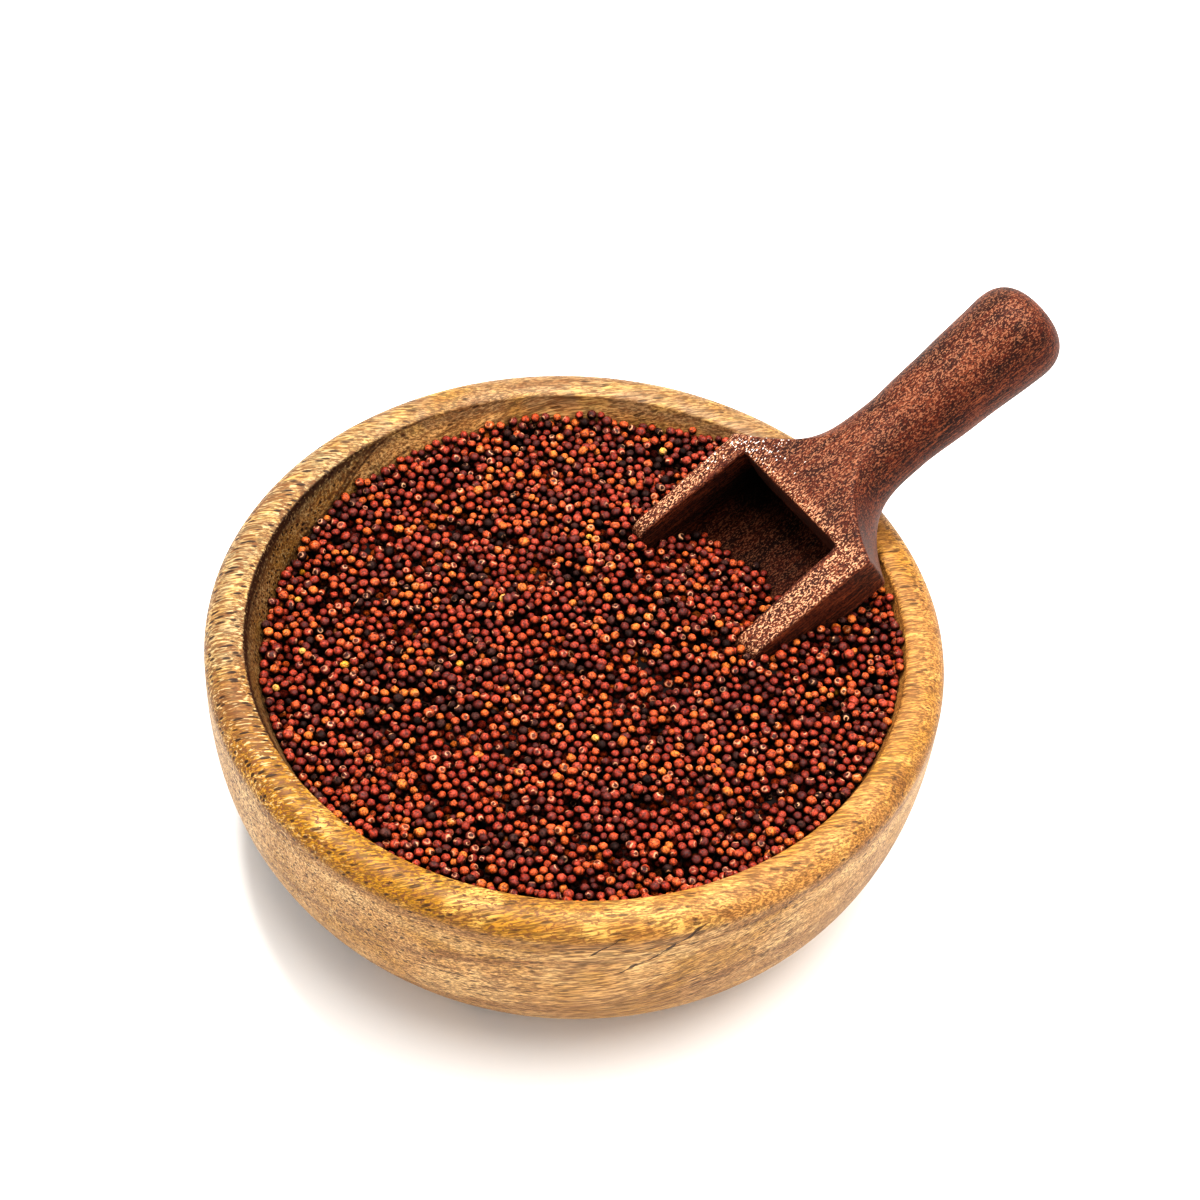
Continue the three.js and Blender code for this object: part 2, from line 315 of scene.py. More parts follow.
def pores(tree, fibre, length, width, reach):
    """Vessels of the wood: thin spindles that lie along the fibre, 1 inside and 0 outside."""
    cell = squeezed(tree, fibre, (length, width, width))
    distance = add(tree, "ShaderNodeTexVoronoi", {"Vector": cell, "Scale": 1.0}).outputs["Distance"]
    return ramp(tree, distance, reach * 0.55, reach, 1.0, 0.0)


def crack(tree, place, start, end, width):
    """A fine broken check in the bowl's outer wall from start to end, in millimetres."""
    start, end = Vector(start), Vector(end)
    line = (end - start).normalized()
    middle = (start + end) / 2
    outward = Vector((middle.x, middle.y, 0)).normalized()
    axes = [line, line.cross(outward).normalized(), outward]
    _, (run, side, depth) = along_axes(tree, place, axes, middle)
    wander = times(tree, calc(tree, "SUBTRACT", fuzz(tree, place, 1.0, scale=0.3), 0.5), 1.4)
    away = calc(tree, "ABSOLUTE", calc(tree, "ADD", side, wander))
    ends = calc(tree, "DIVIDE", calc(tree, "ABSOLUTE", run), (end - start).length / 2)
    taper = ramp(tree, ends, 0.7, 1.0, 1.0, 0.1)
    broken = ramp(tree, fuzz(tree, squeezed(tree, place, (1.6, 1.6, 1.6)), 1.0), 0.40, 0.52, 0.25, 1.0)
    open_width = times(tree, taper, width, broken)
    on_outside = times(tree, calc(tree, "GREATER_THAN", depth, -3.5), calc(tree, "LESS_THAN", ends, 1.0))
    return times(tree, ramp(tree, calc(tree, "SUBTRACT", away, open_width), 0.05, -0.03), on_outside)


def diagonal(tree, first, second):
    """The length of two sides at right angles."""
    squares = [calc(tree, "POWER", side, 2.0) for side in (first, second)]
    return calc(tree, "SQRT", calc(tree, "ADD", *squares))


def growth(tree, shell, size, detail, roughness=0.5):
    """Noise from shell to shell of the wood, in lines of about this size in millimetres."""
    return add(tree, "ShaderNodeTexNoise", {
        "W": calc(tree, "DIVIDE", shell, size), "Scale": 1.0, "Detail": detail, "Roughness": roughness,
    }, noise_dimensions="1D").outputs[0]


def bowl_wood():
    """Golden tan wood: growth lines, brown and yellow zones, long dark vessels, fine fibre, with painted
    shade on the hollow's wall, in the crease and under the lip, and a painted highlight round the body.
    """
    material, tree, shader, place = new_material("bowl_wood")
    lean = Matrix.Rotation(fibre_heading, 3, "Z") @ Matrix.Rotation(-fibre_rise, 3, "Y")
    straight, _ = along_axes(tree, place, [tuple(lean.col[i]) for i in range(3)])
    drift = add(tree, "ShaderNodeTexNoise", {
        "Vector": squeezed(tree, straight, (42, 20, 20)), "Scale": 1.0, "Detail": 1.5,
    }).outputs["Color"]
    drift = calc_vector(tree, "SUBTRACT", drift, (0.5, 0.5, 0.5))
    fibre = calc_vector(tree, "ADD", straight, calc_vector(tree, "MULTIPLY", drift, (0, 7, 7)))

    # Growth lines: shells round a pith far above the bowl, bulged by a small knot under the left rim.
    pith_place = (0, 12, 320)
    knot_place = (-51.8, -11.5, 37.2)
    _, across, up = split(tree, calc_vector(tree, "SUBTRACT", fibre, pith_place))
    from_knot = calc_vector(tree, "DISTANCE", place, knot_place)
    shell = calc(tree, "ADD", diagonal(tree, across, up), ramp(tree, from_knot, 0.0, 5.5, 5.0, 0.0))
    lines = ramp(tree, growth(tree, shell, 2.6, 3.0, 0.62), 0.54, 0.64)
    broad = growth(tree, shell, 9.0, 1.0)
    thin = ramp(tree, growth(tree, shell, 0.75, 2.0, 0.6), 0.50, 0.62)
    thin = times(tree, thin, ramp(tree, fuzz(tree, fibre, 1.0, scale=0.3), 0.4, 0.6))
    fine = fuzz(tree, squeezed(tree, fibre, (3.4, 0.24, 0.24)), 2.0, 0.7)
    dashes = fuzz(tree, squeezed(tree, fibre, (1.9, 0.36, 0.36)), 1.0)
    streaks = fuzz(tree, squeezed(tree, fibre, (26, 1.7, 1.7)), 2.0)
    patches = fuzz(tree, squeezed(tree, place, (9, 9, 9)), 2.0)
    specks = fuzz(tree, squeezed(tree, place, (0.75, 0.42, 0.42)), 2.0, 0.6)

    # The lip is golden at the right, dull and full of dashes at the left, spotted at the left front.
    right, back, height = split(tree, place)
    at_left = ramp(tree, right, -22.0, -44.0)
    at_back = ramp(tree, back, 18.0, 42.0)
    spotted = times(tree, ramp(tree, right, 30.0, -22.0), ramp(tree, back, -10.0, -30.0))
    on_lip = ramp(tree, height, 34.4, 36.2)
    from_axis = diagonal(tree, right, back)
    crease = crease_radius / mm
    in_hollow = ramp(tree, from_axis, crease + 0.5, crease - 0.3)

    gold = (0.420, 0.210, 0.062)
    tan = (0.480, 0.272, 0.102)
    dull = (0.320, 0.220, 0.108)
    tanned = (0.325, 0.198, 0.094)
    honey = (0.350, 0.172, 0.016)
    brown = (0.170, 0.070, 0.022)
    vessel = (0.028, 0.011, 0.005)
    pale = (0.610, 0.405, 0.190)
    straw = (0.600, 0.370, 0.118)
    bleached = (0.640, 0.460, 0.240)
    light_wood = blend(tree, on_lip, pale, straw)
    line_strength = calc(tree, "ADD", 0.34, times(tree, at_left, 0.30))
    colour = coated(
        tree, blend(tree, on_lip, tan, gold),
        (times(tree, on_lip, at_back), tanned),
        (times(tree, on_lip, at_left), dull),
        (times(tree, spotted, on_lip), honey),
        (ramp(tree, patches, 0.46, 0.68, 0.0, 0.55), honey),
        (ramp(tree, patches, 0.45, 0.32, 0.0, 0.55), light_wood),
        (ramp(tree, broad, 0.50, 0.72, 0.0, 0.45), brown),
        (times(tree, lines, line_strength), brown),
        (ramp(tree, streaks, 0.54, 0.70, 0.0, 0.50), brown),
        (ramp(tree, streaks, 0.46, 0.28, 0.0, 0.45), light_wood),
        (times(tree, thin, calc(tree, "SUBTRACT", 0.55, on_lip)), brown),
    )

    # Round the outside, painted shade makes a dark band just under the lip's roll, and a painted highlight
    # a pale band below that.
    band_height = calc(tree, "ADD", height, times(tree, calc(tree, "SUBTRACT", patches, 0.5), 3.0))
    outside = ramp(tree, from_axis, 52.0, 53.0)
    upper = (ramp(tree, band_height, 33.4, 34.4), ramp(tree, band_height, 35.9, 34.9))
    pale_highlight_band = (ramp(tree, band_height, 30.6, 31.8), ramp(tree, band_height, 33.6, 32.4))
    colour = coated(
        tree, colour,
        (times(tree, *upper, outside, 0.42), brown),
        (times(tree, *pale_highlight_band, outside, 0.30), pale),
    )
    colour = darken(tree, colour, ramp(tree, fine, 0.41, 0.59, 0.54, 1.28))

    # Dashes and specks, and the vessels, of which the wide ones are open in patches and at the left.
    light_dashes = times(tree, ramp(tree, dashes, 0.42, 0.33, 0.0, 0.70), at_left)
    dash_strength = calc(tree, "ADD", 0.50, times(tree, at_left, 0.40))
    speck_strength = calc(tree, "ADD", 0.38, times(tree, spotted, 0.62))
    open_here = ramp(tree, fuzz(tree, squeezed(tree, place, (6, 6, 6)), 1.0), 0.40, 0.56, 0.0, 0.7)
    open_here = calc(tree, "MAXIMUM", open_here, calc(tree, "MAXIMUM", at_left, times(tree, spotted, 0.8)))
    wide = times(tree, pores(tree, fibre, 3.6, 0.85, 0.33), open_here)
    narrow = pores(tree, fibre, 2.6, 0.42, 0.26)
    colour = coated(
        tree, colour,
        (light_dashes, bleached),
        (times(tree, ramp(tree, dashes, 0.56, 0.62), dash_strength), brown),
        (times(tree, ramp(tree, specks, 0.55, 0.61), speck_strength, on_lip), brown),
        (times(tree, narrow, 0.75), brown),
        (times(tree, wide, 0.92), vessel),
        (times(tree, lines, in_hollow, 0.55), vessel),
    )
    # Painted light and shade on the hollow's wall: darker at the left, a little lighter at the right.
    wall_shade = calc(tree, "SUBTRACT", 1.12, times(tree, at_left, 0.64))
    colour = darken(tree, colour, ramp(tree, in_hollow, 0.0, 1.0, 1.0, wall_shade))

    # Painted shade in a broken dark line along the crease at the inner edge, and the three checks in the
    # outer wall at the front.
    from_line = calc(tree, "ABSOLUTE", calc(tree, "SUBTRACT", from_axis, crease - 0.1))
    crease_shade = times(tree, ramp(tree, from_line, 0.42, 0.12), ramp(tree, dashes, 0.25, 0.45))
    crease_shade_strength = calc(tree, "ADD", 0.12, times(tree, at_left, 0.8))
    checks = 0.0
    for start, end, width in (
        ((8.4, -53.1, 28.0), (20.5, -49.6, 36.5), 0.30),
        ((4.8, -53.7, 32.6), (9.0, -53.1, 36.3), 0.16),
        ((-20, -50.3, 22.0), (-12, -52.6, 23.8), 0.13),
    ):
        checks = calc(tree, "MAXIMUM", checks, crack(tree, place, start, end, width))
    colour = coated(
        tree, colour,
        (times(tree, crease_shade, crease_shade_strength, on_lip), vessel),
        (times(tree, checks, 0.85), vessel),
    )
    tree.links.new(colour, shader.inputs["Base Color"])
    tree.links.new(ramp(tree, fine, 0.2, 0.8, 0.56, 0.40), shader.inputs["Roughness"])
    shader.inputs["Specular IOR Level"].default_value = 0.28
    relief = calc(tree, "SUBTRACT", times(tree, fine, 0.35), calc(tree, "MAXIMUM", wide, checks))
    roughen(tree, shader, relief, 0.55, 0.14 * mm)
    return material



section = bowl_section()
line = [(i, i + 1) for i in range(len(section) - 1)]
bowl = new_piece("turned_bowl", [(r, 0, z) for r, z in section], edges=line)
grow(bowl, lathe_tree(), Stations=len(section), Sides=bowl_sides, Unevenness=bowl_unevenness,
     Finish=bowl_wood())
face_out(bowl)
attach(bowl, "root")
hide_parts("bowl")

# ----------------------------------------------
# The scoop. Cut from one stick of dark reddish hardwood: a square head, bored out to a hollow that
# is open in front, and a tail turned to a cove, a neck and a swelling handle. Bare, dry and dusty.
# It is held by the grain that its head is stuck in, with its handle over the bowl's rim.
# ----------------------------------------------
head_left = 14.7 * mm
head_right = 17.4 * mm
head_taper = 0.03
head_top = 6.25 * mm
head_bottom = -6.25 * mm
head_side_height = 8.5 * mm
head_chamfer = 5.5 * mm
head_front = -26.5 * mm
head_top_front = -18 * mm
head_bottom_front = -17 * mm
nose_front = -21 * mm
nose_height = 2.5 * mm
lip_top = -2.2 * mm
lip_bottom = -4.4 * mm
hollow_half = 11.3 * mm
hollow_to_right = 0.35 * mm
hollow_flare = 0.04
hollow_depth = 9 * mm
hollow_corner = 2.6 * mm
neck_radius = 6.25 * mm
neck_at = 19.5 * mm
cove_start = 0.75 * mm
cove_rise = 12.08 * mm
cove_power = 3.45
cove_skew = 0.086
handle_taper = 0.0607
handle_shoulder = 41.5 * mm
handle_end = 47.7 * mm
handle_end_power = 2.6
tail_turn = math.radians(-0.86)
past = 4 * mm
tail_room = past * 8
overlap = 0.5 * mm
scoop_sides = 128
scoop_net = 0.30 * mm
hand_made_size = 7 * mm
corner_shade_reach = 11 * mm
rim_flour = 5 * mm
scoop_place = Vector((32.09, 22.83, 40.75)) * mm
scoop_heading = math.radians(37.55)
scoop_rise = math.radians(26.5)
scoop_roll = math.radians(-0.92)
scoop_turn = (Matrix.Rotation(scoop_heading, 4, "Z") @ Matrix.Rotation(-scoop_rise, 4, "Y")
              @ Matrix.Rotation(scoop_roll, 4, "X"))
scoop_lie = Matrix.Translation(scoop_place) @ scoop_turn


def bend(start, pull, end, stations=10):
    """Points on a bend from start towards pull and over to end, without the start itself."""
    t = np.linspace(0, 1, stations)[1:, None]
    start, pull, end = map(np.array, (start, pull, end))
    return [tuple(p) for p in (1 - t) ** 2 * start + 2 * t * (1 - t) * pull + t ** 2 * end]


def sawn(name, outline, axis, start, end, flare=0.0):
    """A straight piece of an outline's section, sawn along the scoop's x or y axis."""
    def at(p, distance):
        if axis == "y":
            return (p[0], distance, p[1])
        return (distance, p[0] * (1 + flare * distance), p[1])

    count = len(outline)
    points = [at(p, start) for p in outline] + [at(p, end) for p in outline]
    faces = [(i, (i + 1) % count, count + (i + 1) % count, count + i) for i in range(count)]
    faces += [tuple(range(count)), tuple(range(count, 2 * count))]
    piece = new_piece(name, points, faces)
    face_out(piece)
    return piece


def turned_tail():
    """The tail as it comes off the lathe, with the block's full width still on in front."""
    cove = np.linspace(cove_start, neck_at, 36)
    handle = np.linspace(neck_at, handle_shoulder, 20)[1:]
    cove_length = neck_at - cove_start
    profile = [(x, neck_radius + cove_rise * ((neck_at - x) / cove_length) ** cove_power) for x in cove]
    profile += [(x, neck_radius + handle_taper * (x - neck_at)) for x in handle]
    end_radius = profile[-1][1]
    for angle in quarter(20)[1:]:
        out = end_radius * max(0.0, math.cos(angle)) ** (2 / handle_end_power)
        profile.append((handle_shoulder + (handle_end - handle_shoulder)
                        * math.sin(angle) ** (2 / handle_end_power), out))
    waste = math.hypot(head_right, head_top) + profile[0][1]
    profile = [(head_front - past, 0), (head_front - past, waste), (cove_start, waste)] + profile
    profile[-1] = (handle_end, 0)
    shell = bmesh.new()
    rim = [shell.verts.new((x, 0, r)) for x, r in profile]
    edges = [shell.edges.new(pair) for pair in zip(rim, rim[1:])]
    bmesh.ops.spin(shell, geom=rim + edges, axis=(1, 0, 0), cent=(0, 0, 0), angle=2 * math.pi,
                   steps=scoop_sides)
    for vertex in shell.verts:
        share = max(0.0, 1 - vertex.co.x / neck_at) if vertex.co.x > head_front else 0.0
        vertex.co.x -= cove_skew * share * vertex.co.y
    piece = new_piece("carved_scoop", [])
    shell.to_mesh(piece.data)
    shell.free()
    piece.data.transform(Matrix.Rotation(tail_turn, 4, "Z"))
    face_out(piece)
    return piece


def carve(piece, operation, tool):
    """Joins, trims or cuts a piece with another, which is used up."""
    modifier = piece.modifiers.new(operation, "BOOLEAN")
    modifier.operation = operation
    modifier.solver = "EXACT"
    modifier.object = tool
    settle(piece)
    bpy.data.objects.remove(tool)
    return piece


def head_block():
    """The head's block: flat top, upright sides and broad chamfers below, shaped to a nose in front."""
    side = head_top - head_side_height
    section = [
        (head_left, head_top), (-head_right, head_top), (-head_right, side),
        (-head_right + head_chamfer, head_bottom), (head_left - head_chamfer, head_bottom),
        (head_left, side),
    ]
    taper = 2 * head_taper / (head_left + head_right)
    block = sawn("block", section, "x", head_front, neck_at + overlap, taper)
    profile = [(neck_at + overlap, head_bottom), (neck_at + overlap, head_top), (head_top_front, head_top)]
    profile += bend((head_top_front, head_top), (nose_front, head_top), (nose_front, nose_height))
    profile += [(head_front, lip_top), (head_front, lip_bottom)]
    profile += bend((head_front, lip_bottom), (nose_front, head_bottom), (head_bottom_front, head_bottom))
    return carve(block, "INTERSECT", sawn("side", profile, "y", -2 * head_right, 2 * head_right))


def head_hollow():
    """The room of the hollow: a flat floor with rounded edges, a little wider towards its mouth."""
    floor = head_top - hollow_depth
    above = head_top + past
    half, corner = hollow_half, hollow_corner
    section = [(half, above), (-half, above), (-half, floor + corner)]
    section += bend((-half, floor + corner), (-half, floor), (-half + corner, floor))
    section += [(half - corner, floor)]
    section += bend((half - corner, floor), (half, floor), (half, floor + corner))[:-1]
    section += [(half, floor + corner)]
    room = sawn("room", section, "x", head_front - past, 0, -hollow_flare / half)
    room.data.transform(Matrix.Translation((0, -hollow_to_right, 0)))
    return room


def kept(tree, name, output="Fac"):
    """A value that the piece keeps under a name."""
    return add(tree, "ShaderNodeAttribute", attribute_name=name).outputs[output]


def upward(tree):
    """How far the surface faces up, from -1 to 1."""
    return split(tree, add(tree, "ShaderNodeNewGeometry").outputs["Normal"])["Z"]


def scoop_wood():
    """Dark reddish wood, matt and dusty: long fibre, dark blotches and pale specks on upper faces,
    and painted shade down in the hollow.
    """
    material, tree, shader, place = new_material("scoop_wood")
    axes = [tuple(scoop_turn.col[i][:3]) for i in range(3)]
    fibre, _ = along_axes(tree, place, axes, tuple(scoop_place / mm))
    fine = fuzz(tree, squeezed(tree, fibre, (3.6, 0.28, 0.28)), 2.0, 0.6)
    streaks = fuzz(tree, squeezed(tree, fibre, (14, 1.6, 1.6)), 2.0)
    blotches = fuzz(tree, squeezed(tree, fibre, (9, 5, 5)), 3.0, 0.6)
    sawn_lines = fuzz(tree, squeezed(tree, fibre, (9, 0.30, 0.30)), 2.0, 0.6)
    grit_place = squeezed(tree, fibre, (0.26, 0.15, 0.15))
    grit = add(tree, "ShaderNodeTexVoronoi", {"Vector": grit_place, "Scale": 1.0}).outputs["Color"]
    grit = split(tree, grit)[0]
    on_side = ramp(tree, calc(tree, "ABSOLUTE", upward(tree)), 0.60, 0.30)
    dusty = kept(tree, "dust")
    shaded = kept(tree, "depth")
    floured = calc(tree, "ADD", grit, times(tree, kept(tree, "flour"), 0.10))
    floured = calc(tree, "GREATER_THAN", floured, 1.0)
    red = (0.090, 0.016, 0.006)
    light = (0.250, 0.070, 0.027)
    dark = (0.016, 0.004, 0.003)
    film = (0.330, 0.120, 0.060)
    dust = (0.800, 0.440, 0.255)
    flour = (0.850, 0.780, 0.720)
    colour = coated(
        tree, red,
        (ramp(tree, blotches, 0.50, 0.64, 0.0, 0.75), dark),
        (ramp(tree, blotches, 0.47, 0.34, 0.0, 0.45), light),
        (ramp(tree, streaks, 0.54, 0.68, 0.0, 0.6), dark),
        (ramp(tree, fine, 0.48, 0.34, 0.0, 0.55), dark),
        (ramp(tree, fine, 0.56, 0.70, 0.0, 0.45), light),
        (times(tree, ramp(tree, sawn_lines, 0.52, 0.62, 0.0, 0.8), on_side), light),
        (times(tree, ramp(tree, sawn_lines, 0.48, 0.38, 0.0, 0.8), on_side), dark),
        (times(tree, dusty, 0.22), film),
        (ramp(tree, grit, 0.42, 0.22, 0.0, 0.72), dark),
        (ramp(tree, grit, 0.66, 0.92, 0.0, 0.48), light),
        (times(tree, ramp(tree, grit, 0.62, 0.82), dusty), dust),
        (times(tree, floured, 0.9), flour),
    )
    # Painted shade: the hollow darker the deeper it goes and towards its back corner.
    colour = darken(tree, colour, calc(tree, "SUBTRACT", 1.0, shaded))
    tree.links.new(colour, shader.inputs["Base Color"])
    shader.inputs["Roughness"].default_value = 0.55
    shader.inputs["Sheen Weight"].default_value = 0.06
    shader.inputs["Sheen Roughness"].default_value = 0.35
    shader.inputs["Sheen Tint"].default_value = (1.0, 0.82, 0.72, 1)
    tree.links.new(ramp(tree, shaded, 0.0, 0.8, 0.20, 0.02), shader.inputs["Specular IOR Level"])
    relief = calc(tree, "ADD", times(tree, fine, 0.6), times(tree, grit, 0.5))
    roughen(tree, shader, relief, 0.6, 0.12 * mm)
    return material



def soften(piece):
    """Remakes a carved piece as one even net and eases its arrises, as sanding does."""
    net = piece.modifiers.new("net", "REMESH")
    net.mode = "VOXEL"
    net.voxel_size = scoop_net
    net.use_smooth_shade = True
    sanding = piece.modifiers.new("sanding", "SMOOTH")
    sanding.factor = 0.5
    sanding.iterations = 3
    settle(piece)


def read_points(piece):
    """The places of a piece's vertices, one a row."""
    points = np.empty(3 * len(piece.data.vertices), np.float32)
    piece.data.vertices.foreach_get("co", points)
    return points.reshape(-1, 3).astype(float)


def keep_value(piece, name, values):
    """Keeps one number a vertex under a name that the material reads."""
    piece.data.attributes.new(name, "FLOAT", "POINT").data.foreach_set("value", values.astype(np.float32))


behind = [(neck_at, -tail_room), (neck_at, tail_room), (handle_end + past, tail_room),
          (handle_end + past, -tail_room)]
block = carve(head_block(), "UNION", sawn("behind", behind, "y", -tail_room, tail_room))
scoop = carve(carve(turned_tail(), "INTERSECT", block), "DIFFERENCE", head_hollow())
soften(scoop)
spots = read_points(scoop)
normals = np.array([v.normal for v in scoop.data.vertices])
hand_made = np.array([noise.noise(Vector(p) / hand_made_size) for p in spots])
spots += normals * hand_made[:, None] * 0.12 * mm
# Painted shade in the hollow, kept as "depth": darker the deeper down it goes and nearer its back left
# corner.
in_hollow = (spots[:, 0] < -0.1 * mm) & (np.abs(spots[:, 1] + hollow_to_right) < hollow_half + 1 * mm)
hollow_drop = np.where(in_hollow, (head_top - 0.5 * mm - spots[:, 2]) / (hollow_depth * 0.5), 0)
far_corner = np.hypot(spots[:, 0], spots[:, 1] + hollow_to_right - hollow_half)
corner_shade = 0.50 + 0.47 * np.exp(-(far_corner / corner_shade_reach) ** 2)
keep_value(scoop, "depth", np.clip(hollow_drop, 0, 1) * corner_shade)
on_walls = np.clip(1 - (spots[:, 0] + 0.5 * mm) / (4 * mm), 0.22, 0.75) * np.where(in_hollow, 0.2, 1)
facing_up = np.clip(normals[:, 2], 0, 1) ** 2
keep_value(scoop, "dust", facing_up * on_walls)
rim_corner = np.hypot(far_corner, spots[:, 2] - head_top)
on_rim = np.exp(-(rim_corner / rim_flour) ** 2)
keep_value(scoop, "flour", facing_up * on_rim * np.where(in_hollow, 0, 1))
scoop.data.vertices.foreach_set("co", spots.astype(np.float32).ravel())
scoop.data.transform(scoop_lie)
scoop.data.materials.clear()
scoop.data.materials.append(scoop_wood())
scoop.data.update()
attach(scoop, "root")
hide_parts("scoop")

# ----------------------------------------------
# The bed of the millet: the heap below its loose top grains, poured into the hollow. Its near-black
# colour is painted shade, as little light gets between grains; its top is a relief of grains up to
# the loose ones.
# ----------------------------------------------
gap = 0.3 * mm
grain_level = 33.8 * mm
grain_lean_x = 0.062
grain_lean_y = 0.014
grain_crown = 1.2 * mm
fill_start = -22 * mm
fill_slope = 0.27
fill_skew = 0.45
mound = 1.7 * mm
mound_back = -8 * mm
mound_reach = 6 * mm
bed_drop = 2.1 * mm
bed_rings = 110
bed_sides = 300
bed_bump = 1.5 * mm
wall_curve = hollow_wall(48)[::-1]
to_scoop = np.array(scoop_lie.inverted())


def in_scoop_axes(points):
    """Points of the row frame, along the scoop's own axes."""
    return points @ to_scoop[:3, :3].T + to_scoop[:3, 3]


def grain_top(x, y):
    """The height of the filled surface at a place in the bowl."""
    open_top = grain_level + grain_lean_x * x + grain_lean_y * y
    open_top = open_top + grain_crown * (1 - (x * x + y * y) / crease_radius ** 2)
    local = in_scoop_axes(np.column_stack([x, y, open_top]))
    start = fill_start - fill_skew * np.maximum(0, local[:, 1])
    within = np.abs(local[:, 1]) < (hollow_half + head_left) / 2
    inside = within & (local[:, 0] > start) & (local[:, 0] < 0)
    past_x = np.maximum(0, np.maximum(nose_front - local[:, 0], local[:, 0] - mound_back))
    past_y = np.maximum(0, np.maximum(local[:, 1] - head_left, -head_right - local[:, 1]))
    pushed_up = mound * np.exp(-(past_x ** 2 + past_y ** 2) / mound_reach ** 2)
    return open_top + pushed_up - np.where(inside, fill_slope * (local[:, 0] - start), 0)


def wall_radius(height):
    """How far the hollow's wall is from the axis at a height."""
    return np.interp(height, wall_curve[:, 1], wall_curve[:, 0])


def bed_skin():
    """Painted shade: near-black brown between the grains, with a dull, darkened red where a seed coat
    shows.
    """
    material, tree, shader, place = new_material("millet_bed")
    # Painted shade: both tones are far darker than the seeds above, for the dark deep in the heap.
    between = (0.006, 0.002, 0.0015)
    coat = (0.060, 0.011, 0.006)
    cell = squeezed(tree, place, (1.5, 1.5, 1.5))
    from_seed = add(tree, "ShaderNodeTexVoronoi", {"Vector": cell, "Scale": 1.0}).outputs["Distance"]
    colour = blend(tree, ramp(tree, from_seed, 0.15, 0.55, 1.0, 0.0), between, coat)
    tree.links.new(colour, shader.inputs["Base Color"])
    shader.inputs["Roughness"].default_value = 0.75
    shader.inputs["Specular IOR Level"].default_value = 0.2
    return material


scoop_shape = BVHTree.FromPolygons([tuple(v.co) for v in scoop.data.vertices],
                                   [tuple(p.vertices) for p in scoop.data.polygons])


def under_scoop(points, start_height):
    """The height of the scoop's underside above each point, or infinity where it doesn't reach."""
    heights = np.full(len(points), np.inf)
    for i, (x, y) in enumerate(points[:, :2]):
        hit, *_ = scoop_shape.ray_cast(Vector((x, y, start_height)), Vector((0, 0, 1)))
        if hit is not None:
            heights[i] = hit.z
    return heights


def bed_points():
    """Rings of the bed's top from the middle out, and then rings down the wall to its floor."""
    angles = np.linspace(0, 2 * math.pi, bed_sides, endpoint=False)
    edge = wall_radius(grain_level) - gap
    rings = []
    for share in np.linspace(0, 1, bed_rings)[1:]:
        x, y = share * edge * np.cos(angles), share * edge * np.sin(angles)
        top = grain_top(x, y) - bed_drop
        if share == 1:
            reach = wall_radius(top) - gap
            x, y = reach * np.cos(angles), reach * np.sin(angles)
        rings.append(np.column_stack([x, y, top]))
    lowest_edge = rings[-1][:, 2].min()
    for radius, height in [p for p in wall_curve[::-1] if p[1] < lowest_edge - 0.5 * mm]:
        reach = radius - gap
        rings.append(np.column_stack([reach * np.cos(angles), reach * np.sin(angles),
                                      np.full(bed_sides, height + gap)]))
    return rings


rings = bed_points()
top_count = (bed_rings - 1) * bed_sides
points = np.vstack(rings)
bumps = np.array([noise.voronoi(Vector(p) / bed_bump)[0][0] for p in points[:top_count]])
points[:top_count, 2] += (0.45 - bumps) * 0.9 * mm
points[:top_count, 2] = np.minimum(points[:top_count, 2],
                                   under_scoop(points[:top_count], floor_thickness) - gap)
middle_top = len(points)
points = np.vstack([points, [0, 0, points[:bed_sides, 2].mean()], [0, 0, floor_thickness + gap]])
faces = [(middle_top, i, (i + 1) % bed_sides) for i in range(bed_sides)]
for ring in range(len(rings) - 1):
    first, next_ring = ring * bed_sides, (ring + 1) * bed_sides
    faces += [(first + i, next_ring + i, next_ring + (i + 1) % bed_sides, first + (i + 1) % bed_sides)
              for i in range(bed_sides)]
last = (len(rings) - 1) * bed_sides
faces += [(middle_top + 1, last + (i + 1) % bed_sides, last + i) for i in range(bed_sides)]
bed = new_piece("millet_bed", points, faces)
face_out(bed)
bed.data.materials.append(bed_skin())
bed.data.shade_smooth()
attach(bed, "root")
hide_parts("millet")

# ----------------------------------------------
# The loose top of the millet. Round dry seeds 1 to 2 mm across, each with a small pit where it sat
# on its stalk; brick red to maroon, some orange or nearly black and a few yellow or pale. They are
# dropped as a layer, pushed apart and settled on the bed, the wall and the scoop.
# ----------------------------------------------
grain_mean = 1.45 * mm
grain_spread = 0.17 * mm
grain_least = 1.05 * mm
grain_most = 1.85 * mm
layer_depth = 2.7 * mm
grain_count = 7100
settle_rounds = 90
first_sink = 0.035 * mm
scoop_reach = 6 * mm
beside_half = 21 * mm
beside_front = head_front - 3 * mm
beside_back = 26 * mm
bare_from = -10 * mm
patch_size = 2.2 * mm
shade_from = 0.60 * mm
shade_over = 1.1 * mm
seed_sides = 8
seed_rings = np.radians((0, 21, 48, 80, 114, 148, 180))
# Each kind's share of the seeds, and the darkest and the lightest tone of its coats.
kinds = {
    "brick": (0.340, ((0.240, 0.026, 0.013), (0.480, 0.076, 0.036))),
    "maroon": (0.240, ((0.100, 0.014, 0.010), (0.240, 0.040, 0.026))),
    "dark": (0.070, ((0.026, 0.010, 0.008), (0.110, 0.042, 0.034))),
    "russet": (0.230, ((0.370, 0.048, 0.014), (0.600, 0.125, 0.034))),
    "orange": (0.118, ((0.520, 0.098, 0.018), (0.720, 0.215, 0.040))),
    "pale": (0.002, ((0.780, 0.350, 0.035), (0.780, 0.430, 0.110))),
}
draw = np.random.default_rng(20)


